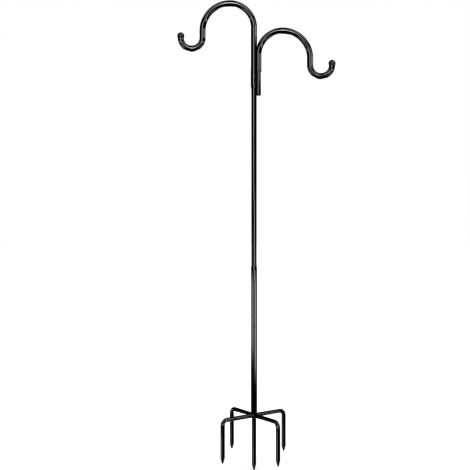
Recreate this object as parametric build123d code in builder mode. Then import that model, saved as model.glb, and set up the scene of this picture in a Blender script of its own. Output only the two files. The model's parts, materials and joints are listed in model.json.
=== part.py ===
from build123d import *
from math import cos, radians, sin, sqrt
import os

os.makedirs("parts", exist_ok=True)

# Double shepherds hook on a five pronged ground base, 60 inches from spike tip to arch top.
# Origin: the pole's axis at ground level, which is the underside of the base's four arms.
# +Z is up, the top hook reaches out along -X and the side hook along +X. Millimetres.

# Stock sizes: one solid rod, and tubes that slip over it, one over the next
rod_d = 12.7
pole_od = 16.0
lower_pole_wall = 1.2
hook_tube_od = 18.6
hook_tube_wall = 1.8
side_socket_wall = 1.0

# Clearances
slip_gap = 0.08
seat_gap = 0.3
weld_gap = 0.03
swing_gap = 0.4
edge_break = 0.4

# Base: four bent prongs welded round a centre spike
prong_circle_r = 124.0
prong_bend_r = 17.0
prong_turn_deg = 35.7
prong_depth = 129.6
spike_depth = 171.0
point_length = 20.0
point_tip_d = 1.4
weld_neck_depth = 1.0
hub_weld_r = 11.0
spigot_length = 75.0
plug_weld_depth = 4.0

# Poles, from the base up
lower_pole_length = 478.5
lower_mouth_taper = 14.0
lower_mouth_wall = 0.6
lower_joint_depth = 75.0
stop_bush_length = 10.0
stop_bush_bore = 9.0
middle_pole_length = 272.0
coupling_depth = 50.0
upper_pole_length = 437.0

# Hooks: both are bent on the same former, which turns tighter on the leg's side of the arch
arch_leg_side_r = 78.5
arch_drop_side_r = 88.5
drop_length = 23.0
bowl_r = 35.4
ball_d = 22.0
ball_stem_length = 8.0
ball_stem_tip_d = 12.0
top_leg_length = 199.0
top_socket_depth = 60.0
top_socket_taper = 15.0
top_mouth_taper = 11.0
top_mouth_wall = 0.9

# Side hook and the socket tube that carries it
side_turn_deg = -45.0
side_socket_length = 76.0
side_socket_drop = 23.0
side_leg_length = 53.5
side_pin_length = 70.0
side_plug_length = 26.0
pin_chamfer = 2.0
socket_weld_length = 16.0
socket_weld_width = 7.0
socket_weld_inset = 3.0
socket_weld_spacing = 24.0

# One overrun serves all cuts
overrun = 5.0

# Radii and bores that follow from the stock sizes
rod_r = rod_d / 2
pole_r = pole_od / 2
pole_bore_r = rod_r + slip_gap
lower_bore_r = pole_r + slip_gap
lower_pole_r = lower_bore_r + lower_pole_wall
hook_r = hook_tube_od / 2
hook_bore_r = hook_r - hook_tube_wall
top_socket_r = pole_r + slip_gap + hook_tube_wall
side_socket_r = pole_bore_r + side_socket_wall
ball_r = ball_d / 2

# The arch is two quarter turns that meet at its top. The rim is the bowl's upturned end.
arch_span = arch_leg_side_r + arch_drop_side_r
hook_reach = arch_span + bowl_r * 2
rim_fall = arch_drop_side_r - arch_leg_side_r + drop_length

# The spike is necked to this radius for the weld that holds the arms round it
neck_r = rod_r - weld_neck_depth
neck_fit_r = neck_r + weld_gap

# Heights, stacked from the ground up. The hub weld runs out where its ball meets the spike.
arm_z = rod_r
hub_weld_foot_z = arm_z - sqrt(hub_weld_r ** 2 - rod_r ** 2)
pole_foot_z = rod_d + seat_gap
lower_top_z = pole_foot_z + lower_pole_length
middle_foot_z = lower_top_z - lower_joint_depth
middle_top_z = middle_foot_z + middle_pole_length
upper_foot_z = middle_top_z + seat_gap
upper_top_z = upper_foot_z + upper_pole_length
top_shoulder_z = upper_top_z + seat_gap
top_mouth_z = top_shoulder_z - top_socket_depth
top_arch_z = top_mouth_z + top_leg_length
side_socket_foot_z = top_mouth_z - side_socket_drop
side_socket_top_z = side_socket_foot_z + side_socket_length
side_foot_z = side_socket_top_z + seat_gap
side_arch_z = side_foot_z + side_leg_length

# The side socket stands off the pole far enough for the side hook's leg to pass it
side_offset = top_socket_r + hook_r + swing_gap
side_x = side_offset * cos(radians(side_turn_deg))
side_y = side_offset * sin(radians(side_turn_deg))


def finish(builder, name):
    """Label a finished piece and write it to its own file."""
    builder.part.label = name
    export_step(builder.part, "parts/" + name + ".step")


def turned(name, outline, x=0.0, y=0.0):
    """A turned piece: its half outline, as (radius, height) points, spun about an upright axis."""
    upright = Plane(origin=(x, y, 0), x_dir=(1, 0, 0), z_dir=(0, -1, 0))
    with BuildPart() as piece:
        with BuildSketch(upright):
            with BuildLine():
                Polyline(*outline, close=True)
            make_face()
        revolve(axis=Axis((x, y, 0), (0, 0, 1)))
    finish(piece, name)


def tube_outline(outer_r, bore_r, foot_z, top_z):
    """Half outline of a plain cut tube with its outer edges broken."""
    return [
        (bore_r, foot_z),
        (outer_r - edge_break, foot_z),
        (outer_r, foot_z + edge_break),
        (outer_r, top_z - edge_break),
        (outer_r - edge_break, top_z),
        (bore_r, top_z),
    ]


# Base

def centre_spike():
    """Pointed rod, necked where the arms are welded to it, standing up into the spigot."""
    shoulder_z = hub_weld_foot_z - weld_gap
    top_z = rod_d + spigot_length - plug_weld_depth
    turned("centre_spike", [
        (0, -spike_depth),
        (point_tip_d / 2, -spike_depth),
        (rod_r, point_length - spike_depth),
        (rod_r, shoulder_z),
        (neck_r, shoulder_z),
        (neck_r, rod_d + weld_gap),
        (rod_r, rod_d + weld_gap),
        (rod_r, top_z),
        (0, top_z),
    ])


def prong(name, angle_deg):
    """Rod bent down through a right angle, pointed, its inner end mitred to its neighbours."""
    out = Vector(cos(radians(angle_deg)), sin(radians(angle_deg)), 0)
    side = Vector(-out.Y, out.X, 0)
    hub = Vector(0, 0, arm_z)
    upright = Plane(origin=hub, x_dir=out, z_dir=-side)
    flat = Plane(origin=(0, 0, 0), x_dir=out, z_dir=(0, 0, 1))
    leg_foot_z = point_length - prong_depth
    mitre_reach = prong_circle_r + rod_d
    with BuildPart() as rod:
        with BuildLine(upright) as route:
            FilletPolyline(
                (0, 0),
                (prong_circle_r, 0),
                (prong_circle_r, leg_foot_z - arm_z),
                radius=prong_bend_r,
            )
        with BuildSketch(Plane(origin=hub, x_dir=side, z_dir=out)):
            Circle(rod_r)
        sweep(path=route.line)
        with BuildSketch(upright):
            with BuildLine():
                Polyline(
                    (prong_circle_r, leg_foot_z - arm_z),
                    (prong_circle_r + rod_r, leg_foot_z - arm_z),
                    (prong_circle_r + point_tip_d / 2, -prong_depth - arm_z),
                    (prong_circle_r, -prong_depth - arm_z),
                    close=True,
                )
            make_face()
        revolve(axis=Axis(out * prong_circle_r, (0, 0, 1)))
        # Mitre: each arm keeps the quarter of the hub that faces it
        with BuildSketch(flat.offset(-prong_depth - overrun)):
            with BuildLine():
                Polyline(
                    (weld_gap, 0),
                    (mitre_reach, mitre_reach - weld_gap),
                    (mitre_reach, weld_gap - mitre_reach),
                    close=True,
                )
            make_face()
        extrude(amount=prong_depth + rod_d + overrun * 2, mode=Mode.INTERSECT)
        # Cope: the mitred end is hollowed to fit the spike's neck
        with BuildSketch(Plane.XY.offset(-overrun)):
            Circle(neck_fit_r)
        extrude(amount=rod_d + overrun * 2, mode=Mode.SUBTRACT)
    finish(rod, name)


def hub_weld():
    """Weld metal in the corners between the arms and round the spike under them."""
    with BuildPart() as weld:
        with Locations((0, 0, arm_z)):
            Sphere(hub_weld_r)
        with BuildSketch(Plane.XY.offset(rod_d - edge_break)):
            Circle(hub_weld_r + overrun)
        extrude(amount=hub_weld_r + overrun, mode=Mode.SUBTRACT)
        with BuildSketch(Plane.XY.offset(hub_weld_foot_z)):
            Circle(hub_weld_r + overrun)
        extrude(amount=-hub_weld_r - overrun, mode=Mode.SUBTRACT)
        for quarter_turn in range(2):
            angle = radians(prong_turn_deg + 90 * quarter_turn)
            out = Vector(cos(angle), sin(angle), 0)
            start = Vector(0, 0, arm_z) - out * (hub_weld_r + overrun)
            with BuildSketch(Plane(origin=start, z_dir=out)):
                Circle(rod_r + weld_gap)
            extrude(amount=(hub_weld_r + overrun) * 2, mode=Mode.SUBTRACT)
        with BuildSketch(Plane.XY.offset(hub_weld_foot_z - overrun)):
            Circle(neck_fit_r)
        extrude(amount=(hub_weld_r + overrun) * 2, mode=Mode.SUBTRACT)
    finish(weld, "hub_weld")


def base():
    centre_spike()
    prong_names = ["prong_back_right", "prong_back_left", "prong_front_left", "prong_front_right"]
    for count, name in enumerate(prong_names):
        prong(name, prong_turn_deg + 90 * count)
    hub_weld()
    # Spigot: a length of pole tube over the spike's upper end, plug welded at its top
    spigot_foot_z = rod_d + weld_gap
    spigot_top_z = rod_d + spigot_length
    turned("pole_spigot", tube_outline(pole_r, pole_bore_r, spigot_foot_z, spigot_top_z))
    weld_foot_z = spigot_top_z - plug_weld_depth + weld_gap
    turned("spigot_plug_weld", [
        (0, weld_foot_z),
        (rod_r, weld_foot_z),
        (rod_r, spigot_top_z - edge_break),
        (rod_r - edge_break, spigot_top_z),
        (0, spigot_top_z),
    ])


# Poles

def lower_pole():
    """Wide tube that drops over the spigot; its mouth thins to meet the pole inside it."""
    turned("lower_pole", [
        (lower_bore_r, pole_foot_z),
        (lower_pole_r - edge_break, pole_foot_z),
        (lower_pole_r, pole_foot_z + edge_break),
        (lower_pole_r, lower_top_z - lower_mouth_taper),
        (lower_bore_r + lower_mouth_wall, lower_top_z),
        (lower_bore_r, lower_top_z),
    ])
    # Pressed ring that the middle pole comes down on
    bush_top_z = middle_foot_z - seat_gap
    bush_r = lower_bore_r - weld_gap
    turned("lower_stop_bush", tube_outline(bush_r, stop_bush_bore / 2, bush_top_z - stop_bush_length, bush_top_z))


def middle_pole():
    turned("middle_pole", tube_outline(pole_r, pole_bore_r, middle_foot_z, middle_top_z))


def upper_pole():
    turned("upper_pole", tube_outline(pole_r, pole_bore_r, upper_foot_z, upper_top_z))
    # Rod fixed in the upper pole's foot, standing down into the middle pole
    rod_foot_z = upper_foot_z - coupling_depth
    rod_top_z = upper_foot_z + coupling_depth
    turned("coupling_rod", [
        (0, rod_foot_z),
        (rod_r - pin_chamfer, rod_foot_z),
        (rod_r, rod_foot_z + pin_chamfer),
        (rod_r, rod_top_z - pin_chamfer),
        (rod_r - pin_chamfer, rod_top_z),
        (0, rod_top_z),
    ])


# Hooks

def hook_route(plane, leg_foot_z, arch_z):
    """Centre line of a hook: straight leg, arch, short drop and the bowl that holds a hanger."""
    rim_z = arch_z - rim_fall
    drop_top_z = rim_z + drop_length
    with BuildLine(plane) as route:
        Line((0, leg_foot_z), (0, arch_z))
        CenterArc((arch_leg_side_r, arch_z), arch_leg_side_r, 180, -90)
        CenterArc((arch_leg_side_r, drop_top_z), arch_drop_side_r, 90, -90)
        Line((arch_span, drop_top_z), (arch_span, rim_z))
        CenterArc((arch_span + bowl_r, rim_z), bowl_r, 180, 180)
    return route.line


def ball_cap(name, x, y, rim_z):
    """Ball with a tapered stem pressed into the bowl's upturned end; it sits on the tube's rim."""
    seat_z = rim_z + weld_gap
    centre_z = seat_z + sqrt(ball_r ** 2 - hook_r ** 2)
    with BuildPart() as cap:
        with Locations((x, y, centre_z)):
            Sphere(ball_r)
        with BuildSketch(Plane.XY.offset(seat_z)):
            with Locations((x, y)):
                Circle(ball_r + overrun)
        extrude(amount=-ball_r - overrun, mode=Mode.SUBTRACT)
        with BuildSketch(Plane.XY.offset(seat_z)):
            with Locations((x, y)):
                Circle(hook_bore_r - weld_gap)
        with BuildSketch(Plane.XY.offset(seat_z - ball_stem_length)):
            with Locations((x, y)):
                Circle(ball_stem_tip_d / 2)
        loft()
    finish(cap, name)


def top_hook():
    """Bent tube whose leg is swelled out into a socket that drops over the upper pole."""
    facing = Plane(origin=(0, 0, 0), x_dir=(-1, 0, 0), z_dir=(0, 1, 0))
    taper_top_z = top_shoulder_z + top_socket_taper
    socket_bore_r = pole_r + slip_gap
    route = hook_route(facing, taper_top_z, top_arch_z)
    with BuildPart() as tube:
        with BuildSketch(Plane.XY.offset(taper_top_z)):
            Circle(hook_r)
            Circle(hook_bore_r, mode=Mode.SUBTRACT)
        sweep(path=route)
        with BuildSketch(facing):
            with BuildLine():
                Polyline(
                    (socket_bore_r, top_mouth_z),
                    (socket_bore_r + top_mouth_wall, top_mouth_z),
                    (top_socket_r, top_mouth_z + top_mouth_taper),
                    (top_socket_r, top_shoulder_z),
                    (hook_r, taper_top_z),
                    (hook_bore_r, taper_top_z),
                    (hook_bore_r, top_shoulder_z + hook_tube_wall),
                    (socket_bore_r, top_shoulder_z),
                    close=True,
                )
            make_face()
        revolve(axis=Axis.Z)
    finish(tube, "top_hook_tube")
    ball_cap("top_ball_cap", -hook_reach, 0, top_arch_z - rim_fall)


def side_socket():
    """Short tube welded beside the top hook's leg, and its two welds."""
    outline = tube_outline(side_socket_r, pole_bore_r, side_socket_foot_z, side_socket_top_z)
    turned("side_socket", outline, side_x, side_y)
    out = Vector(side_x, side_y, 0)
    weld_top_z = side_socket_top_z - socket_weld_inset
    with BuildPart() as welds:
        for count in range(2):
            middle_z = weld_top_z - socket_weld_length / 2 - socket_weld_spacing * count
            with BuildSketch(Plane(origin=(0, 0, middle_z), x_dir=(0, 0, 1), z_dir=out)):
                Ellipse(socket_weld_length / 2, socket_weld_width / 2)
            extrude(amount=side_offset)
        with BuildSketch(Plane.XY.offset(side_socket_top_z)):
            Circle(top_socket_r + weld_gap)
            with Locations((side_x, side_y)):
                Circle(side_socket_r + weld_gap)
        extrude(amount=-side_socket_length, mode=Mode.SUBTRACT)
    finish(welds, "side_socket_welds")


def side_hook():
    """Bent tube on a shouldered pin that turns in the side socket."""
    facing = Plane(origin=(side_x, side_y, 0), x_dir=(1, 0, 0), z_dir=(0, -1, 0))
    route = hook_route(facing, side_foot_z, side_arch_z)
    with BuildPart() as tube:
        with BuildSketch(Plane(origin=(side_x, side_y, side_foot_z), z_dir=(0, 0, 1))):
            Circle(hook_r)
            Circle(hook_bore_r, mode=Mode.SUBTRACT)
        sweep(path=route)
    finish(tube, "side_hook_tube")
    ball_cap("side_ball_cap", side_x + hook_reach, side_y, side_arch_z - rim_fall)
    pin_foot_z = side_foot_z - side_pin_length
    plug_r = hook_bore_r - weld_gap
    turned("side_hook_pin", [
        (0, pin_foot_z),
        (rod_r - pin_chamfer, pin_foot_z),
        (rod_r, pin_foot_z + pin_chamfer),
        (rod_r, side_foot_z),
        (plug_r, side_foot_z),
        (plug_r, side_foot_z + side_plug_length),
        (0, side_foot_z + side_plug_length),
    ], side_x, side_y)


base()
lower_pole()
middle_pole()
upper_pole()
top_hook()
side_socket()
side_hook()

arch_top_z = top_arch_z + arch_leg_side_r + hook_r
print("arch top above ground", round(arch_top_z, 2))
print("overall height", round(arch_top_z + spike_depth, 2))
print("side hook axis", round(side_x, 3), round(side_y, 3))
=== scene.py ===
import json
from math import acos, atan2, cos, hypot, pi, radians, sin, sqrt

import bmesh
import bpy
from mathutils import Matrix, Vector


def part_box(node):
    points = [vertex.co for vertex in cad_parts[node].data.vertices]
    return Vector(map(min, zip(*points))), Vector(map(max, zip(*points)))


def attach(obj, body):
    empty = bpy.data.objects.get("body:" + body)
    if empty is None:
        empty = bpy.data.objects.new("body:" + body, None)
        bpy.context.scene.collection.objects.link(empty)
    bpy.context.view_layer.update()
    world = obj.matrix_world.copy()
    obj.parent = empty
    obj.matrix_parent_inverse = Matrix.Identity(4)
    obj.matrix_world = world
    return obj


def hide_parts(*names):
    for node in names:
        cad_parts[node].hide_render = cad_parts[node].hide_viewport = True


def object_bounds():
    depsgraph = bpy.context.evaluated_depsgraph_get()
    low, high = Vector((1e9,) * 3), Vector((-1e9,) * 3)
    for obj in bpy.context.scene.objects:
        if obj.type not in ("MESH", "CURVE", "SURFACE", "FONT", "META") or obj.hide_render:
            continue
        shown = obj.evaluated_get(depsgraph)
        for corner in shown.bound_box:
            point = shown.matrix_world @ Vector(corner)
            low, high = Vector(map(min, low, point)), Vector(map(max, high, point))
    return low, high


# Double shepherds hook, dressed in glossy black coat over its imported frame.
# Lengths are in metres, written as so many millimetres, and turns are in radians.

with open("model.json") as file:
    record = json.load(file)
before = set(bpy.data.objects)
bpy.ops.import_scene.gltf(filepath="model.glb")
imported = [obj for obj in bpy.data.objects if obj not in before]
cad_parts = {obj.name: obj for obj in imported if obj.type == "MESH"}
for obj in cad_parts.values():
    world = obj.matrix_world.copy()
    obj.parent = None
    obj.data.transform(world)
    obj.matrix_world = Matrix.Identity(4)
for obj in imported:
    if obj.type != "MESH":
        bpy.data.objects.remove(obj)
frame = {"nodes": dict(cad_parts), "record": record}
cad_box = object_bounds()

MM = 0.001

# Sizes read from the frame

boxes = {node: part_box(node) for node in frame["nodes"]}
mounts = {mount["name"]: mount for mount in frame["record"]["mounts"]}
slot_of = {row["node"]: row["material_slot"] for row in frame["record"]["subparts"]}
body_of = {
    node: body
    for body, nodes in frame["record"]["behaviour"]["bodies"].items()
    for node in nodes
}


def foot(node):
    return boxes[node][0].z


def top(node):
    return boxes[node][1].z


def half_depth(node):
    """Half of a node's size along Y: the largest radius of an upright tube or of a hook."""
    low, high = boxes[node]
    return (high.y - low.y) / 2


def axis_of(node):
    """Where an upright node's axis meets the ground."""
    low, high = boxes[node]
    return ((low.x + high.x) / 2, (low.y + high.y) / 2)


rod_r = half_depth("centre_spike")
pole_r = half_depth("middle_pole")
lower_pole_r = half_depth("lower_pole")
hook_r = half_depth("side_hook_tube")
top_socket_r = half_depth("top_hook_tube")
side_socket_r = half_depth("side_socket")
ball_r = half_depth("top_ball_cap")
pole_axis = (0.0, 0.0)
side_axis = axis_of("side_hook_pin")
# The prongs' arms lie on the ground
arm_z = rod_r

# Walls, clearances and edges, as in the frame

slip_gap = 0.08 * MM
seat_gap = 0.3 * MM
hook_wall = 1.8 * MM
neck_depth = 1.0 * MM
leg_side_r = 78.5 * MM
point_length = 20.0 * MM
point_tip_r = 0.7 * MM
edge = 0.4 * MM
hair = 0.01 * MM
pin_chamfer = 2.0 * MM
weld_bead_r = 1.9 * MM
side_weld_length = 16.0 * MM
rod_bore = rod_r + slip_gap
pole_bore = pole_r + slip_gap
hook_bore = hook_r - hook_wall
neck_r = rod_r - neck_depth
side_leg_foot = top("side_socket") + seat_gap

# How finely things are drawn

pole_sides = 56
rod_sides = 40
ball_sides = 48
ball_steps = 36
bend_step = radians(2.0)
rim_steps = 3
swell_steps = 9
point_steps = 12
points_per_ripple = 6.0
weld_voxel = 0.28 * MM
seam_gap = hair / 5
crease_angle = radians(38.0)

# How far rubbing has gone: 0 leaves the coat whole, and 1 takes it off to the steel

rim_rub = 0.3
mouth_rub = 0.4
slide_rub = 0.6
saddle_rub = 0.62


class Wire:
    """A socket in a node tree. Sums on it add Math nodes, and node() adds any other kind."""

    def __init__(self, tree, socket=None):
        self.tree = tree
        self.socket = socket

    def node(self, kind, settings=None, sockets=None, out=0):
        """Adds a node, its settings first and then each socket's value or wire.

        Returns the wire out of it.
        """
        made = self.tree.nodes.new(kind)
        for key, value in (settings or {}).items():
            setattr(made, key, value)
        for key, values in (sockets or {}).items():
            for value in values if isinstance(values, list) else [values]:
                if isinstance(value, Wire):
                    self.tree.links.new(value.socket, made.inputs[key])
                else:
                    made.inputs[key].default_value = value
        return Wire(self.tree, made.outputs[out] if made.outputs else None)

    def maths(self, operation, *values):
        return self.node("ShaderNodeMath", {"operation": operation}, dict(enumerate(values)))

    def __add__(self, other):
        return self.maths("ADD", self, other)

    def __radd__(self, other):
        return self.maths("ADD", other, self)

    def __sub__(self, other):
        return self.maths("SUBTRACT", self, other)

    def __rsub__(self, other):
        return self.maths("SUBTRACT", other, self)

    def __mul__(self, other):
        return self.maths("MULTIPLY", self, other)

    def __rmul__(self, other):
        return self.maths("MULTIPLY", other, self)

    def __truediv__(self, other):
        return self.maths("DIVIDE", self, other)

    def __rtruediv__(self, other):
        return self.maths("DIVIDE", other, self)

    def __pow__(self, other):
        return self.maths("POWER", self, other)

    def __rpow__(self, other):
        return self.maths("POWER", other, self)

    def __abs__(self):
        return self.maths("ABSOLUTE", self)

    def sine(self):
        return self.maths("SINE", self)

    def at_least(self, other):
        return self.maths("MAXIMUM", self, other)

    def step(self, low, high):
        """Climbs smoothly from 0 to 1 as this value goes from low to high."""
        return self.node("ShaderNodeMapRange", {"interpolation_type": "SMOOTHSTEP"},
                         {"Value": self, "From Min": low, "From Max": high})

    def ramp(self, middle, width):
        """Climbs smoothly from 0 to 1 over this width about the middle."""
        return self.step(middle - width / 2, middle + width / 2)

    def between(self, first, second):
        """The colour that lies this far from the first to the second."""
        return self.node("ShaderNodeMix", {"data_type": "RGBA"},
                         {0: self, 6: first, 7: second}, out=2)

    def noise(self, scale, detail=2.0, stretch=(1.0, 1.0, 1.0)):
        """Noise over the place this wire gives, drawn out along an axis where stretch is small."""
        place = self.node("ShaderNodeMapping", sockets={"Vector": self, "Scale": stretch})
        return place.node("ShaderNodeTexNoise",
                          sockets={"Vector": place, "Scale": scale, "Detail": detail}, out="Fac")


# Finishes

def grey(level, warmth=0.0):
    """A grey as linear red, green and blue, a little warm or cool."""
    return (level * (1 + warmth), level, level * (1 - warmth), 1.0)


def new_material(name):
    """An empty material, with a wire that gives the place on the piece in its own coordinates."""
    material = bpy.data.materials.new(name)
    material.use_nodes = True
    material.node_tree.nodes.clear()
    place = Wire(material.node_tree).node("ShaderNodeTexCoord", out="Object")
    return material, place


def surface(place, height, strength, depth, sockets):
    """Ends a material: a Principled shader over a bump made from the height wire."""
    bump = place.node("ShaderNodeBump",
                      sockets={"Strength": strength, "Distance": depth, "Height": height})
    shader = place.node("ShaderNodeBsdfPrincipled", sockets={**sockets, "Normal": bump})
    shader.node("ShaderNodeOutputMaterial", sockets={"Surface": shader})


def coat(name, darkest, palest, gloss, peel_scale, peel_strength):
    """Baked black coat: orange peel, cloudy tone, specks of dust, and steel where it is rubbed."""
    material, place = new_material(name)
    clouds = place.noise(38.0, detail=3.0)
    peel = place.noise(peel_scale)
    grit = place.noise(2600.0, detail=1.0).step(0.66, 0.72)
    smears = place.noise(120.0, detail=4.0, stretch=(1.0, 1.0, 0.12))
    rub = place.node("ShaderNodeAttribute", {"attribute_name": "rub"}, out="Fac")
    scratches = place.noise(900.0, stretch=(1.0, 1.0, 0.04)).step(0.46, 0.60)
    worn = (rub * (0.35 + 0.9 * scratches) - 0.42 * smears).step(0.30, 0.72)
    black = clouds.step(0.30, 0.70).between(darkest, palest)
    dusty = (grit * 0.35).between(black, grey(0.045, 0.02))
    colour = worn.between(dusty, grey(0.20, 0.03))
    roughness = gloss + 0.05 * smears.step(0.50, 0.80) + 0.01 * clouds + 0.20 * worn + 0.05 * grit
    height = peel + 0.35 * grit - 0.8 * worn
    surface(place, height, strength=peel_strength, depth=0.25 * MM, sockets={
        "Base Color": colour,
        "Roughness": roughness,
        "Metallic": worn * 0.85,
        "IOR": 1.5,
        "Coat Weight": 0.35 * (1.0 - worn),
        "Coat Roughness": 0.03,
    })
    return material


def mill_steel():
    """Bare steel with drawing lines along it, blued and browned by the heat of the weld."""
    material, place = new_material("mill_steel")
    lines = place.noise(1400.0, detail=3.0, stretch=(1.0, 1.0, 0.03))
    scale_marks = place.noise(170.0, detail=4.0).step(0.45, 0.65)
    heat = place.noise(60.0, detail=1.0).step(0.35, 0.65)
    bright = lines.between(grey(0.30, 0.02), grey(0.46, 0.03))
    tinted = heat.between(bright, (0.24, 0.19, 0.16, 1.0))
    colour = (scale_marks * 0.7).between(tinted, grey(0.10, 0.01))
    surface(place, lines + 0.6 * scale_marks, strength=0.25, depth=0.2 * MM, sockets={
        "Base Color": colour,
        "Roughness": 0.28 + 0.25 * scale_marks + 0.10 * lines,
        "Metallic": 1.0 - 0.45 * scale_marks,
    })
    return material


finish_of = {
    "black_coat": coat("gloss_black_coat", grey(0.0022), grey(0.0052),
                       gloss=0.04, peel_scale=480.0, peel_strength=0.09),
    "black_ball": coat("gloss_black_enamel", grey(0.0020), grey(0.0040),
                       gloss=0.03, peel_scale=700.0, peel_strength=0.08),
    "bare_steel": mill_steel(),
}


# Geometry Nodes trees

def new_tree(name, inputs):
    """An empty tree with named inputs. Returns it and the wire of each input."""
    tree = bpy.data.node_groups.new(name, "GeometryNodeTree")
    geometry = "NodeSocketGeometry"
    tree.interface.new_socket("Geometry", in_out="INPUT", socket_type=geometry)
    for label, kind in inputs.items():
        tree.interface.new_socket(label, in_out="INPUT", socket_type="NodeSocket" + kind)
    tree.interface.new_socket("Geometry", in_out="OUTPUT", socket_type=geometry)
    entry = tree.nodes.new("NodeGroupInput")
    return tree, {socket.name: Wire(tree, socket) for socket in entry.outputs if socket.name}


def end_tree(shape, material):
    """Closes a tree: seams joined, smooth faces, real geometry and its material."""
    joined = shape.node("GeometryNodeMergeByDistance",
                        sockets={"Geometry": shape, "Distance": seam_gap})
    smooth = joined.node("GeometryNodeSetShadeSmooth", sockets={"Geometry": joined})
    whole = smooth.node("GeometryNodeRealizeInstances", sockets={"Geometry": smooth})
    painted = whole.node("GeometryNodeSetMaterial",
                         sockets={"Geometry": whole, "Material": material})
    painted.node("NodeGroupOutput", sockets={"Geometry": painted})


def as_curve(shape):
    return shape.node("GeometryNodeMeshToCurve", sockets={"Mesh": shape})


def swept(curve, sides, radius):
    """A round skin of this many sides along a curve, without ends."""
    ring = curve.node("GeometryNodeCurvePrimitiveCircle",
                      sockets={"Resolution": sides, "Radius": 1.0})
    return curve.node("GeometryNodeCurveToMesh",
                      sockets={"Curve": curve, "Profile Curve": ring, "Scale": radius})


def roughened(shape, grain, depth, seed):
    """Moves a surface in and out along its normals by noise."""
    place = shape.node("GeometryNodeInputPosition")
    normal = shape.node("GeometryNodeInputNormal")
    wobble = shape.node("ShaderNodeTexNoise", {"noise_dimensions": "4D"},
                        {"Vector": place, "W": seed, "Scale": grain, "Detail": 2.0}, out="Fac")
    offset = shape.node("ShaderNodeVectorMath", {"operation": "SCALE"},
                        {0: normal, "Scale": (wobble - 0.5) * depth})
    return shape.node("GeometryNodeSetPosition", sockets={"Geometry": shape, "Offset": offset})


def swept_stock_tree():
    """Sweeps two rings along a line whose points carry the outer and bore radii.

    The two skins meet at the rims. Without a bore only the outer one is kept.
    """
    tree, given = new_tree("swept_stock", {
        "Sides": "Int", "Hollow": "Bool", "Material": "Material",
    })
    line = as_curve(given["Geometry"])
    skins = {}
    for skin in ("outer", "bore"):
        radius = line.node("GeometryNodeInputNamedAttribute",
                           {"data_type": "FLOAT"}, {"Name": skin})
        skins[skin] = swept(line, given["Sides"], radius)
    inside = line.node("GeometryNodeFlipFaces", sockets={"Mesh": skins["bore"]})
    both = line.node("GeometryNodeJoinGeometry", sockets={"Geometry": [skins["outer"], inside]})
    chosen = line.node("GeometryNodeSwitch", {"input_type": "GEOMETRY"},
                       {"Switch": given["Hollow"], "False": skins["outer"], "True": both})
    end_tree(chosen, given["Material"])
    return tree


def weld_bead_tree():
    """Lays a rippled bead along a line, rounded off at its ends unless the line is a loop."""
    tree, given = new_tree("weld_bead", {
        "Bead radius": "Float", "Ripple pitch": "Float", "Ripple depth": "Float",
        "Unevenness": "Float", "Looped": "Float", "Sides": "Int", "Seed": "Float",
        "Material": "Material",
    })
    line = as_curve(given["Geometry"])
    even = line.node("GeometryNodeResampleCurve", {"mode": "LENGTH"},
                     {"Curve": line, "Length": given["Ripple pitch"] / points_per_ripple})
    along = line.node("GeometryNodeSplineParameter", out="Length")
    share = line.node("GeometryNodeSplineParameter", out="Factor")
    ripple = abs((along / given["Ripple pitch"] * pi).sine())
    bluntness = 6.0
    rounding = (1.0 - abs(share * 2.0 - 1.0) ** bluntness).at_least(0.0) ** 0.5
    ends = rounding.at_least(given["Looped"])
    radius = given["Bead radius"] * ends * (1.0 - given["Ripple depth"] * (1.0 - ripple))
    bead = swept(even, given["Sides"], radius)
    rough = roughened(bead, grain=900.0, depth=given["Unevenness"], seed=given["Seed"])
    end_tree(rough, given["Material"])
    return tree


swept_stock = swept_stock_tree()
weld_bead = weld_bead_tree()


# Making pieces

def in_scene(name, data):
    """A new object of this mesh or camera, linked to the scene."""
    made = bpy.data.objects.new(name, data)
    bpy.context.scene.collection.objects.link(made)
    return made


def station_line(name, stations, looped=False):
    """A mesh of points in a line.

    A station is its place, outer radius, bore radius and how rubbed it is.
    """
    count = len(stations)
    edges = [(i, i + 1) for i in range(count - 1)]
    if looped:
        edges.append((count - 1, 0))
    mesh = bpy.data.meshes.new(name)
    mesh.from_pydata([station[0] for station in stations], edges, [])
    for column, key in enumerate(("outer", "bore", "rub"), start=1):
        layer = mesh.attributes.new(key, "FLOAT", "POINT")
        layer.data.foreach_set("value", [station[column] for station in stations])
    return mesh


def built(name, mesh, tree, settings):
    """Runs a tree on a mesh and keeps the result as a plain mesh object, its creases marked."""
    piece = in_scene(name, mesh)
    modifier = piece.modifiers.new("shape", "NODES")
    modifier.node_group = tree
    for item in tree.interface.items_tree:
        if item.in_out == "INPUT" and item.name in settings:
            modifier[item.identifier] = settings[item.name]
    settled(piece)
    return piece


def settled(piece):
    """Applies a piece's modifiers, drops the working attributes and marks the creases."""
    evaluated = piece.evaluated_get(bpy.context.evaluated_depsgraph_get())
    mesh = bpy.data.meshes.new_from_object(evaluated)
    piece.modifiers.clear()
    piece.data = mesh
    for key in ("outer", "bore", "radius"):
        if key in mesh.attributes:
            mesh.attributes.remove(mesh.attributes[key])
    mesh.set_sharp_from_angle(angle=crease_angle)


def dressed(piece, node):
    """The piece stands for a CAD node: it rides that node's body, and the node is hidden."""
    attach(piece, body_of[node])
    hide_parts(node)
    return piece


def stock(name, node, stations, sides=pole_sides):
    """A swept or turned piece that stands for a node, hollow if its stations have a bore."""
    piece = built(name, station_line(name, stations), swept_stock, {
        "Sides": sides,
        "Hollow": any(bore > 0 for place, outer, bore, rub in stations),
        "Material": finish_of[slot_of[node]],
    })
    return dressed(piece, node)


def upright(axis, rows):
    """Stations up an upright axis, from rows of height, outer radius, bore radius and rub."""
    return [(Vector((*axis, height)), outer, bore, rub) for height, outer, bore, rub in rows]


def solid(height, radius, rub=0.0):
    """A row of a rod without a bore."""
    return (height, radius, 0.0, rub)


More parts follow.
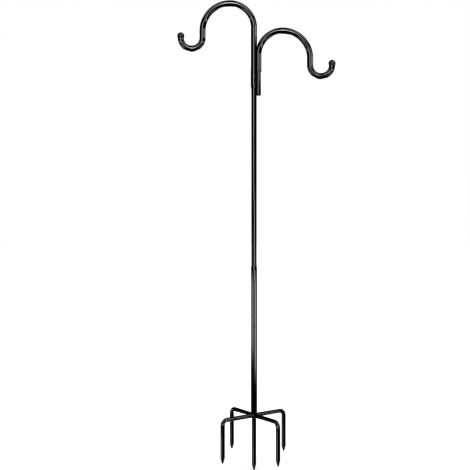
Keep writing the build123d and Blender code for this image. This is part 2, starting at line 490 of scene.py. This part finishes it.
def rim(height, up, outer, bore, rub):
    """Rows for a cut end: its flat, a rounded edge and a row that keeps the side straight."""
    rows = [(height, bore, bore, rub)]
    for step in range(rim_steps + 1):
        turn = step / rim_steps * pi / 2
        rise = hair + edge * (1 - cos(turn))
        rows.append((height + up * rise, outer - edge * (1 - sin(turn)), bore, rub))
    rows.append((height + up * edge * 2, outer, bore, rub))
    return rows if up > 0 else rows[::-1]


def tube_rows(low, high, outer, bore, rubs=()):
    """Rows of a plain cut tube, with rows of height and rub between its two rims."""
    between = [(height, outer, bore, rub) for height, rub in rubs]
    return rim(low, 1, outer, bore, rim_rub) + between + rim(high, -1, outer, bore, rim_rub)


def swell(low, high, from_r, to_r, bore, rub=0.0):
    """Rows where a formed tube eases from one outer radius to another."""
    rows = []
    for step in range(swell_steps + 1):
        share = step / swell_steps
        ease = share * share * (3 - 2 * share)
        rows.append((low + (high - low) * share, from_r + (to_r - from_r) * ease, bore, rub))
    return rows


def point_rows(tip):
    """Rows of a forged point, a little fuller than a cone, and of the straight rod above it.

    The soil has rubbed it towards its tip.
    """
    tip_rub = 0.5
    fullness = 0.82
    rows = [solid(tip, 0.0, tip_rub)]
    for step in range(point_steps + 1):
        share = step / point_steps
        radius = point_tip_r + (rod_r - point_tip_r) * sin(share * pi / 2) ** fullness
        rows.append(solid(tip + hair + point_length * share, radius, tip_rub * (1 - share)))
    rows.append(solid(tip + point_length * 1.1, rod_r))
    return rows


def pin_foot(low):
    """Rows of a pin's chamfered foot, rubbed by the tube that it stands in."""
    return [
        solid(low, 0.0, rim_rub),
        solid(low + hair, rod_r - pin_chamfer, rim_rub),
        solid(low + pin_chamfer, rod_r, slide_rub),
    ]


# Base: four prongs welded round a centre spike

def centre_spike():
    """Rod with a forged point, necked where the arms meet it."""
    low, high = foot("centre_spike"), top("centre_spike")
    mount = mounts["centre_spike"]
    neck_z = mount["pos_m"][2] + mount["dims"]["length_mm"] * MM / 2
    arm_top = rod_r * 2
    rows = point_rows(low) + [
        solid(neck_z - hair, rod_r),
        solid(neck_z, neck_r),
        solid(arm_top, neck_r),
        solid(arm_top + hair, rod_r),
        solid(high - hair, rod_r),
        solid(high, 0.0),
    ]
    stock("centre_spike_rod", "centre_spike", upright(pole_axis, rows), rod_sides)


def mitred(piece, out):
    """Cuts a prong's inner end back to the two planes where it meets the prongs beside it."""
    mesh = bmesh.new()
    mesh.from_mesh(piece.data)
    for turn in (1, -1):
        side = Vector((-out.y * turn, out.x * turn, 0.0))
        cut = bmesh.ops.bisect_plane(
            mesh, geom=mesh.verts[:] + mesh.edges[:] + mesh.faces[:],
            plane_co=(0, 0, 0), plane_no=(side - out).normalized(), clear_outer=True,
        )
        rim_edges = [item for item in cut["geom_cut"] if isinstance(item, bmesh.types.BMEdge)]
        bmesh.ops.holes_fill(mesh, edges=rim_edges)
    mesh.to_mesh(piece.data)
    mesh.free()
    piece.data.set_sharp_from_angle(angle=crease_angle)


def prong(node):
    """Rod that runs out from the hub, bends down and ends in a forged point."""
    mount = mounts[node + "_leg"]
    leg = Vector(mount["pos_m"])
    length = mount["dims"]["length_mm"] * MM
    reach = hypot(leg.x, leg.y)
    out = Vector((leg.x, leg.y, 0.0)) / reach
    bend_z = leg.z + length / 2
    bend_r = arm_z - bend_z
    places = [
        (neck_r - hair, arm_z, 0.0),
        (neck_r, arm_z, rod_r),
        (reach - bend_r - hair, arm_z, rod_r),
    ]
    steps = round(pi / 2 / bend_step)
    for step in range(steps + 1):
        turn = step / steps * pi / 2
        places.append((reach - bend_r * (1 - sin(turn)), bend_z + bend_r * cos(turn), rod_r))
    stations = []
    for along, height, radius in places:
        stations.append((out * along + Vector((0, 0, height)), radius, 0.0, 0.0))
    for height, radius, bore, rub in reversed(point_rows(foot(node))):
        stations.append((out * reach + Vector((0, 0, height)), radius, bore, rub))
    mitred(stock(node + "_rod", node, stations, rod_sides), out)


def beads(name, node, lines, ripple_pitch):
    """Weld beads along several lines, run together into one skin."""
    shells = []
    for count, (line, looped) in enumerate(lines):
        stations = [(place, 0.0, 0.0, 0.0) for place in line]
        shells.append(built(name + str(count), station_line(name, stations, looped), weld_bead, {
            "Bead radius": weld_bead_r,
            "Ripple pitch": ripple_pitch,
            "Ripple depth": 0.16,
            "Unevenness": 0.5 * MM,
            "Looped": float(looped),
            "Sides": 20,
            "Seed": float(count),
            "Material": finish_of[slot_of[node]],
        }))
    whole = bmesh.new()
    for shell in shells:
        whole.from_mesh(shell.data)
        bpy.data.objects.remove(shell)
    mesh = bpy.data.meshes.new(name)
    whole.to_mesh(mesh)
    whole.free()
    mesh.materials.append(finish_of[slot_of[node]])
    piece = in_scene(name, mesh)
    remesh = piece.modifiers.new("run_together", "REMESH")
    remesh.mode = "VOXEL"
    remesh.voxel_size = weld_voxel
    remesh.use_smooth_shade = True
    settled(piece)
    return dressed(piece, node)


def hub_weld():
    """A bead down each corner between two prongs, and one round the spike under them."""
    ring_r = rod_r + weld_bead_r * 0.35
    ring_z = foot("hub_weld") + weld_bead_r
    ring_steps = 48
    corner_steps = 14
    corner_tilt = 58
    leg = mounts["prong_back_right_leg"]["pos_m"]
    lines = []
    for corner in range(4):
        turn = atan2(leg[1], leg[0]) + pi / 4 + corner * pi / 2
        out = Vector((cos(turn), sin(turn), 0.0))
        line = []
        for step in range(corner_steps + 1):
            tilt = radians(-corner_tilt + 2 * corner_tilt * step / corner_steps)
            height = arm_z + rod_r * sin(tilt)
            line.append(out * (rod_r * cos(tilt) * sqrt(2)) + Vector((0, 0, height)))
        lines.append((line, False))
    ring = []
    for step in range(ring_steps):
        turn = step * 2 * pi / ring_steps
        ring.append(Vector((ring_r * cos(turn), ring_r * sin(turn), ring_z)))
    lines.append((ring, True))
    beads("hub_weld_beads", "hub_weld", lines, 1.8 * MM)


def pole_spigot():
    """Length of pole tube over the spike, rubbed more and more towards its top."""
    low, high = foot("pole_spigot"), top("pole_spigot")
    rubs = []
    for share, rub in ((0.1, 0.35), (0.5, 0.55), (0.9, 0.75)):
        rubs.append((low + share * (high - low), rub))
    rows = tube_rows(low, high, pole_r, rod_bore, rubs)
    stock("pole_spigot_tube", "pole_spigot", upright(pole_axis, rows))


def spigot_plug_weld():
    """Weld that closes the spigot's top, crowned a little."""
    low, high = foot("spigot_plug_weld"), top("spigot_plug_weld")
    crown = 0.9 * MM
    rows = [solid(low, 0.0), solid(low + hair, rod_r)]
    for step in range(swell_steps + 1):
        turn = step / swell_steps * pi / 2
        rows.append(solid(high - crown + crown * sin(turn), rod_r * cos(turn)))
    stock("spigot_plug_weld_cap", "spigot_plug_weld", upright(pole_axis, rows))


# Poles

def lower_pole():
    """Widest tube, whose mouth is necked in on the middle pole."""
    low, high = foot("lower_pole"), top("lower_pole")
    mouth_taper = 14.0 * MM
    lip_wall = 0.6 * MM
    lip_z = high - hair - edge
    lip_r = pole_bore + lip_wall
    rows = rim(low, 1, lower_pole_r, pole_bore, rim_rub)
    for share in (0.03, 0.5, 0.9):
        rows.append((low + (high - low) * share, lower_pole_r, pole_bore, 0.0))
    rows += swell(high - mouth_taper, lip_z, lower_pole_r, lip_r, pole_bore, rub=0.1)
    rows.append((high - hair, pole_bore + lip_wall / 2, pole_bore, mouth_rub))
    rows.append((high, pole_bore, pole_bore, mouth_rub))
    stock("lower_pole_tube", "lower_pole", upright(pole_axis, rows))


def lower_stop_bush():
    """Ring pressed in the lower pole, on which the middle pole comes down."""
    low, high = foot("lower_stop_bush"), top("lower_stop_bush")
    bush_bore = 4.5 * MM
    rows = tube_rows(low, high, half_depth("lower_stop_bush"), bush_bore)
    stock("lower_stop_bush_ring", "lower_stop_bush", upright(pole_axis, rows))


def plain_pole(node, rubbed):
    """Pole cut square at both ends, with rows of rise above its foot and rub."""
    low, high = foot(node), top(node)
    rubs = [(low + rise, rub) for rise, rub in rubbed] + [(high - 6.0 * MM, 0.0)]
    rows = tube_rows(low, high, pole_r, rod_bore, rubs)
    stock(node + "_tube", node, upright(pole_axis, rows))


def coupling_rod():
    """Rod fixed in the upper pole's foot, which stands down into the middle pole."""
    low, high = foot("coupling_rod"), top("coupling_rod")
    rows = pin_foot(low) + [
        solid((low + high) / 2, rod_r, 0.4),
        solid(high - pin_chamfer, rod_r, 0.2),
        solid(high - hair, rod_r - pin_chamfer, 0.2),
        solid(high, 0.0),
    ]
    stock("coupling_rod_bar", "coupling_rod", upright(pole_axis, rows), rod_sides)


# Hooks

def hook_bend(axis, reach, node, bowl):
    """Stations of the arch, the short drop and the bowl of a hook that reaches along +X or -X."""
    bowl_x = abs(mounts[bowl]["pos_m"][0] - axis[0])
    low, high = boxes[node]
    tip_x = abs((high.x if reach > 0 else low.x) - axis[0])
    bowl_r = tip_x - hook_r - bowl_x
    arch_top_z = high.z - hook_r
    drop_side_r = bowl_x - bowl_r - leg_side_r
    rim_z = mounts[bowl]["pos_m"][2] + bowl_r - hook_r
    saddle_width = radians(26.0)

    def station(out, height, rub):
        return Vector((axis[0] + reach * out, axis[1], height)), hook_r, hook_bore, rub

    stations = []
    steps = round(pi / bend_step)
    for step in range(steps + 1):
        turn = pi - step / steps * pi
        arch_r = leg_side_r if turn > pi / 2 else drop_side_r
        height = arch_top_z - arch_r + arch_r * sin(turn)
        stations.append(station(leg_side_r + arch_r * cos(turn), height, 0.0))
    for step in range(steps + 1):
        turn = pi + step / steps * pi
        rub = saddle_rub * max(0.0, 1 - abs(turn - 1.5 * pi) / saddle_width)
        stations.append(station(bowl_x + bowl_r * cos(turn), rim_z + bowl_r * sin(turn), rub))
    place, outer, bore, rub = stations[-1]
    stations[-1] = (place - Vector((0, 0, hair)), outer, bore, rub)
    stations.append((place, bore, bore, rub))
    return stations


def ball_cap(name, node):
    """Ball on a hook's upturned end, with the tapered stem that is pressed into the tube."""
    low, high = foot(node), top(node)
    seat_z = high - ball_r - sqrt(ball_r ** 2 - hook_r ** 2)
    centre_z = high - ball_r
    stem_tip_r = 6.0 * MM
    crease = 0.25 * MM
    rows = [
        solid(low, 0.0),
        solid(low + hair, stem_tip_r),
        solid(seat_z - hair, hook_bore - hair),
        solid(seat_z, hook_r - crease),
    ]
    start = -acos(hook_r / ball_r)
    for step in range(1, ball_steps):
        turn = start + (pi / 2 - start) * step / ball_steps
        rows.append(solid(centre_z + ball_r * sin(turn), ball_r * cos(turn)))
    rows.append(solid(high, 0.0))
    stock(name, node, upright(axis_of(node), rows), ball_sides)


def top_hook():
    """A leg swelled into a socket at its foot, and the bend above it."""
    low = foot("top_hook_tube")
    shoulder_z = top("upper_pole") + seat_gap
    taper_z = shoulder_z + 15.0 * MM
    mouth_r = pole_bore + 0.9 * MM
    mouth_z = low + 11.0 * MM
    rows = [
        (low, pole_bore, pole_bore, mouth_rub),
        (low + hair, mouth_r - edge, pole_bore, mouth_rub),
    ]
    rows += swell(low + edge, mouth_z, mouth_r, top_socket_r, pole_bore, rub=0.15)
    rows.append((mouth_z + 2.0 * MM, top_socket_r, pole_bore, 0.0))
    rows.append((shoulder_z - hair, top_socket_r, pole_bore, 0.0))
    rows += swell(shoulder_z, taper_z, top_socket_r, hook_r, hook_bore)
    rows.append((taper_z + 3.0 * MM, hook_r, hook_bore, 0.0))
    bend = hook_bend(pole_axis, -1, "top_hook_tube", "top_hook_bowl")
    stock("top_hook_bend", "top_hook_tube", upright(pole_axis, rows) + bend)


def side_socket():
    """Short tube beside the top hook's leg."""
    low, high = foot("side_socket"), top("side_socket")
    rubs = [(low + 2.0 * MM, 0.0), (high - 4.0 * MM, 0.0)]
    rows = tube_rows(low, high, side_socket_r, rod_bore, rubs)
    stock("side_socket_tube", "side_socket", upright(side_axis, rows))


def side_socket_welds():
    """Two pairs of upright beads between the side socket and the top hook's leg."""
    out = Vector((*side_axis, 0.0)).normalized()
    side = Vector((-out.y, out.x, 0.0))
    gap_middle = (top_socket_r + Vector((*side_axis, 0.0)).length - side_socket_r) / 2
    spread = weld_bead_r * 0.85
    run = side_weld_length - weld_bead_r * 0.8
    steps = 8
    lines = []
    for weld_top in (top("side_socket_welds"), foot("side_socket_welds") + side_weld_length):
        height = Vector((0, 0, weld_top - weld_bead_r * 0.4))
        for turn in (-1, 1):
            start = out * gap_middle + side * (turn * spread) + height
            line = [start - Vector((0, 0, run * step / steps)) for step in range(steps + 1)]
            lines.append((line, False))
    beads("side_socket_beads", "side_socket_welds", lines, 1.7 * MM)


def side_hook():
    """A short leg, and the bend above it."""
    rows = rim(side_leg_foot, 1, hook_r, hook_bore, rim_rub)
    rows.append((side_leg_foot + 3.0 * MM, hook_r, hook_bore, 0.0))
    bend = hook_bend(side_axis, 1, "side_hook_tube", "side_hook_bowl")
    stock("side_hook_bend", "side_hook_tube", upright(side_axis, rows) + bend)


def side_hook_pin():
    """Shouldered pin, pressed in the side hook's leg, that turns in the side socket."""
    low, high = foot("side_hook_pin"), top("side_hook_pin")
    plug_r = half_depth("side_hook_pin")
    rows = pin_foot(low) + [
        solid((low + side_leg_foot) / 2, rod_r, 0.4),
        solid(side_leg_foot - hair, rod_r, rim_rub),
        solid(side_leg_foot, plug_r),
        solid(high - hair, plug_r),
        solid(high, 0.0),
    ]
    stock("side_hook_pin_bar", "side_hook_pin", upright(side_axis, rows), rod_sides)


centre_spike()
for prong_node in ("prong_back_right", "prong_back_left", "prong_front_left", "prong_front_right"):
    prong(prong_node)
hub_weld()
pole_spigot()
spigot_plug_weld()

middle_hidden = 75.0 * MM
lower_pole()
lower_stop_bush()
plain_pole("middle_pole", [
    (3.0 * MM, 0.4),
    (middle_hidden * 0.85, 0.45),
    (middle_hidden, 0.15),
    (middle_hidden * 1.15, 0.0),
])
plain_pole("upper_pole", [(3.0 * MM, 0.4), (6.0 * MM, 0.0)])
coupling_rod()

top_hook()
ball_cap("top_ball", "top_ball_cap")
side_socket()
side_socket_welds()
side_hook()
ball_cap("side_ball", "side_ball_cap")
side_hook_pin()


# Floor, light and camera

def floor():
    """Plain pale floor under the spike's tip, out to the horizon."""
    half = 60.0
    level = cad_box[0][2]
    corners = [(-half, -half), (half, -half), (half, half), (-half, half)]
    mesh = bpy.data.meshes.new("floor")
    mesh.from_pydata([(x, y, level) for x, y in corners], [], [(0, 1, 2, 3)])
    material, place = new_material("pale_floor")
    shader = place.node("ShaderNodeBsdfDiffuse", sockets={"Color": grey(0.92)})
    shader.node("ShaderNodeOutputMaterial", sockets={"Surface": shader})
    mesh.materials.append(material)
    made = in_scene("floor", mesh)
    made.visible_glossy = False


# Softboxes as the object sees them. Each has its left and right bearing, 0 in front and 90 on
# the right, then the elevation of its foot and of its top, all in degrees, and its radiance.
softboxes = {
    "front_strip": (-5, 5, -10.5, 34, 16.0),
    "left_line": (-31, -18, 3, 22, 17.0),
    "right_line": (17, 36, -3, 3, 13.0),
    "right_band": (42, 75, 11.5, 30, 8.0),
    "right_edge": (75, 100, 11.5, 17, 8.0),
    "left_high": (-110, -20, 38, 78, 3.5),
    "right_high": (20, 110, 38, 78, 5.0),
    "low_wrap": (-115, -36, -9, -3, 5.5),
    "low_front": (-36, 44, -9, -3, 2.2),
    "low_line": (50, 74, -10.5, -3, 15.0),
    "fade_left": (-90, -50, -3, 0, 1.7),
    "fade_right": (50, 90, -3, -1, 1.5),
    "low_left": (-75, -30, -20, -14, 7.0),
    "floor_back_left": (-170, -150, -45, -20, 8.0),
    "floor_left": (-105, -85, -45, -20, 8.0),
    "floor_front_left": (-60, -45, -45, -20, 8.0),
    "floor_front_right": (50, 65, -45, -20, 8.0),
    "floor_right": (90, 105, -45, -20, 8.0),
    "floor_back_right": (150, 170, -45, -20, 8.0),
}
softbox_edge = 2.0


def surroundings(lights, backdrop=1.0, fill=1.25, dark=0.02):
    """White to the camera and to anything matt, but dark with softboxes to anything glossy."""
    world = bpy.data.worlds.new("studio")
    world.use_nodes = True
    world.node_tree.nodes.clear()
    start = Wire(world.node_tree)
    towards = start.node("ShaderNodeTexCoord", out="Generated")
    x, y, z = (
        towards.node("ShaderNodeSeparateXYZ", sockets={"Vector": towards}, out=axis)
        for axis in "XYZ"
    )
    degrees = 180 / pi
    bearing = start.maths("ARCTAN2", x, y * -1.0) * degrees
    elevation = start.maths("ARCSINE", z) * degrees
    glow = dark
    for left, right, low, high, radiance in lights.values():
        across = bearing.ramp(left, softbox_edge) * (1.0 - bearing.ramp(right, softbox_edge))
        up = elevation.ramp(low, softbox_edge) * (1.0 - elevation.ramp(high, softbox_edge))
        glow = glow + across * up * radiance
    camera_ray = start.node("ShaderNodeLightPath", out="Is Camera Ray")
    glossy_ray = start.node("ShaderNodeLightPath", out="Is Glossy Ray")
    plain = fill + camera_ray * (backdrop - fill)
    level = plain + glossy_ray * (glow - plain)
    light = start.node("ShaderNodeBackground", sockets={"Color": grey(1.0), "Strength": level})
    light.node("ShaderNodeOutputWorld", sockets={"Surface": light})
    world.cycles.sampling_method = "NONE"
    bpy.context.scene.world = world


def camera():
    """Level camera in front, at the photograph's distance, height and lens."""
    data = bpy.data.cameras.new("camera")
    data.sensor_width = 36.0
    data.lens = 58.2
    data.clip_end = 200.0
    made = in_scene("camera", data)
    made.location = (-61.7 * MM, -2467.0 * MM, 591.7 * MM)
    made.rotation_euler = (pi / 2, 0, 0)
    bpy.context.scene.camera = made


def contrast():
    """Firm contrast: thin black tubes keep their full weight against the white."""
    settings = bpy.context.scene.view_settings
    settings.view_transform = "Standard"
    settings.gamma = 0.55


floor()
surroundings(softboxes)
camera()
contrast()
